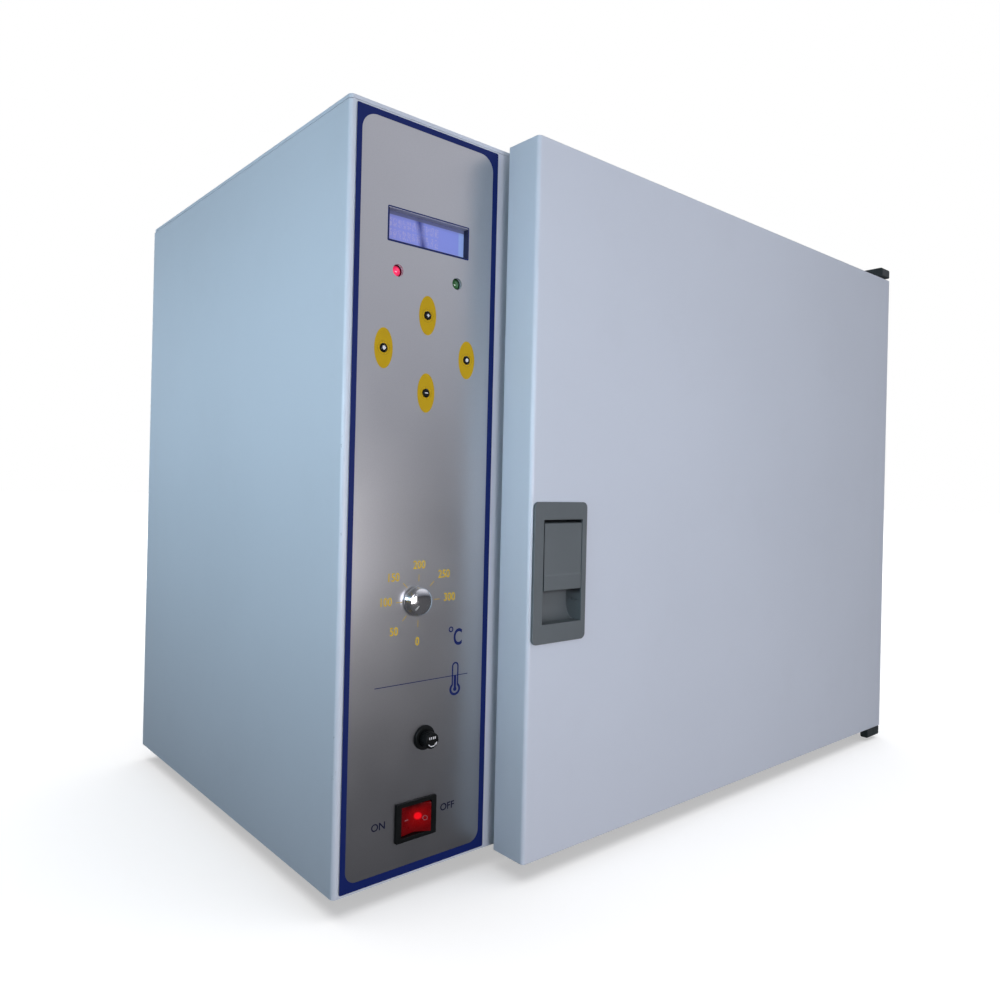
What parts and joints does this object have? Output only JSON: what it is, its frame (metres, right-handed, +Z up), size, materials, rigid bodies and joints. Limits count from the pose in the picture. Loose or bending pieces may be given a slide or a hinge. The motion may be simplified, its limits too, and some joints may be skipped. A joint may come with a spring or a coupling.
{
  "type": "dry heat sterilizer",
  "caption": "Bench dry heat sterilizer: painted steel cabinet with a control column, a heated chamber with shelves, and a thick side-hinged door with a flush paddle latch.",
  "frame": {"origin": "centre of the footprint's bounding box, on the surface the feet stand on", "axes": "+X towards the hinge side (right, seen from the front), +Y towards the back, +Z up; the door faces -Y"},
  "size_m": [0.67, 0.4226, 0.5263],
  "materials": {
    "cabinet_paint": "semi-gloss powder coat, faint orange peel",
    "galvanised": "zinc coated sheet",
    "foot_rubber": "matte black rubber",
    "stainless": "brushed stainless steel",
    "heater_sheath": "heat-tinted steel sheath",
    "mineral_wool": "mineral wool",
    "steel_pin": "turned or stamped steel",
    "aluminium": "cast or extruded aluminium",
    "gasket_silicone": "silicone rubber",
    "latch_plastic": "grey moulded plastic",
    "bush_bronze": "sintered bronze",
    "hinge_black": "dark painted casting",
    "overlay_film": "printed polyester film",
    "display_glass": "backlit display",
    "board_green": "printed circuit board",
    "led_red": "lit red lens",
    "led_green": "unlit green lens",
    "key_plastic": "dark key cap",
    "knob_chrome": "polished chrome cap",
    "ceramic": "glazed insulator body",
    "fuse_glass": "clear glass",
    "black_plastic": "black moulded plastic",
    "rocker_red": "translucent red plastic, lit"
  },
  "bodies": {
    "cabinet": {"body_wrap": "cabinet_paint", "top_cover": "cabinet_paint", "base_tray": "cabinet_paint", "rear_panel": "cabinet_paint", "bulkhead": "galvanised", "foot_front_left": "foot_rubber", "foot_front_right": "foot_rubber", "foot_rear_left": "foot_rubber", "foot_rear_right": "foot_rubber", "chamber_liner": "stainless", "chamber_insulation": "mineral_wool", "air_baffle": "stainless", "shelf_rack_left": "stainless", "shelf_rack_right": "stainless", "heater_element": "heater_sheath", "fan_motor": "aluminium", "temperature_probe": "stainless", "thermostat_bulb": "stainless", "vent_tube": "stainless", "door_gasket": "gasket_silicone", "striker_box": "galvanised", "hinge_bracket_top": "hinge_black", "hinge_bracket_bottom": "hinge_black", "hinge_pin_top": "steel_pin", "hinge_pin_bottom": "steel_pin", "control_overlay": "overlay_film", "lcd_module": "black_plastic", "lcd_glass": "display_glass", "control_board": "board_green", "led_red": "led_red", "led_green": "led_green", "thermostat_body": "ceramic", "fuse_holder_body": "black_plastic", "switch_housing": "black_plastic", "power_inlet": "black_plastic", "heater_relay": "aluminium"},
    "door": {"door_outer_pan": "cabinet_paint", "door_inner_panel": "stainless", "door_insulation": "mineral_wool", "latch_housing": "latch_plastic", "latch_pivot_pin": "steel_pin", "hinge_bush_top": "bush_bronze", "hinge_bush_bottom": "bush_bronze"},
    "paddle": {"latch_paddle": "latch_plastic"},
    "hook": {"latch_hook": "steel_pin"},
    "knob": {"thermostat_knob": "knob_chrome", "thermostat_shaft": "steel_pin"},
    "fuse_drawer": {"fuse_carrier": "black_plastic", "fuse_cartridge": "fuse_glass"},
    "fuse_turn_cap": {"fuse_cap": "black_plastic"},
    "rocker": {"switch_rocker": "rocker_red"},
    "lower_shelf": {"shelf_lower": "stainless"},
    "upper_shelf": {"shelf_upper": "stainless"},
    "fan": {"fan_wheel": "stainless", "fan_shaft": "steel_pin"},
    "vent_flap": {"vent_cover": "stainless"},
    "plus_key": {"key_plus": "key_plastic"},
    "minus_key": {"key_minus": "key_plastic"},
    "left_key": {"key_left": "key_plastic"},
    "right_key": {"key_right": "key_plastic"}
  },
  "joints": [
    {"name": "door_hinge", "type": "hinge", "parent": "cabinet", "child": "door", "pos_m": [0.3238, -0.1932, 0.264], "axis": [0, 0, 1], "range_deg": [0, 180]},
    {"name": "paddle_hinge", "type": "hinge", "parent": "door", "child": "paddle", "pos_m": [-0.181, -0.2051, 0.245], "axis": [-1, 0, 0], "range_deg": [0, 30], "stiffness_Nm_per_rad": 0.15},
    {"name": "hook_pivot", "type": "hinge", "parent": "door", "child": "hook", "pos_m": [-0.181, -0.1877, 0.222], "axis": [-1, 0, 0], "range_deg": [0, 13]},
    {"name": "knob_turn", "type": "hinge", "parent": "cabinet", "child": "knob", "pos_m": [-0.2777, -0.1737, 0.1955], "axis": [0, 1, 0], "range_deg": [-45, 225]},
    {"name": "rocker_tilt", "type": "hinge", "parent": "cabinet", "child": "rocker", "pos_m": [-0.2746, -0.1707, 0.0506], "axis": [0, 0, 1], "range_deg": [0, 22]},
    {"name": "fuse_drawer_slide", "type": "slide", "parent": "cabinet", "child": "fuse_drawer", "axis": [0, -1, 0], "range_m": [0, 0.03]},
    {"name": "fuse_cap_turn", "type": "hinge", "parent": "fuse_drawer", "child": "fuse_turn_cap", "pos_m": [-0.269, -0.1737, 0.1035], "axis": [0, -1, 0], "range_deg": [0, 90]},
    {"name": "lower_shelf_slide", "type": "slide", "parent": "cabinet", "child": "lower_shelf", "axis": [0, -1, 0], "range_m": [0, 0.016]},
    {"name": "upper_shelf_slide", "type": "slide", "parent": "cabinet", "child": "upper_shelf", "axis": [0, -1, 0], "range_m": [0, 0.016]},
    {"name": "fan_spin", "type": "hinge", "parent": "cabinet", "child": "fan", "pos_m": [0.075, 0.1133, 0.259], "axis": [0, 1, 0], "continuous": true},
    {"name": "vent_cover_swing", "type": "hinge", "parent": "cabinet", "child": "vent_flap", "pos_m": [0.231, 0.2063, 0.404], "axis": [0, -1, 0], "range_deg": [0, 75]},
    {"name": "key_plus_press", "type": "slide", "parent": "cabinet", "child": "plus_key", "axis": [0, 1, 0], "range_m": [0, 0.0005], "stiffness_N_per_m": 400},
    {"name": "key_minus_press", "type": "slide", "parent": "cabinet", "child": "minus_key", "axis": [0, 1, 0], "range_m": [0, 0.0005], "stiffness_N_per_m": 400},
    {"name": "key_left_press", "type": "slide", "parent": "cabinet", "child": "left_key", "axis": [0, 1, 0], "range_m": [0, 0.0005], "stiffness_N_per_m": 400},
    {"name": "key_right_press", "type": "slide", "parent": "cabinet", "child": "right_key", "axis": [0, 1, 0], "range_m": [0, 0.0005], "stiffness_N_per_m": 400}
  ],
  "couplings": [
    {"joint": "hook_pivot", "follows": "paddle_hinge", "ratio": 0.4}
  ]
}
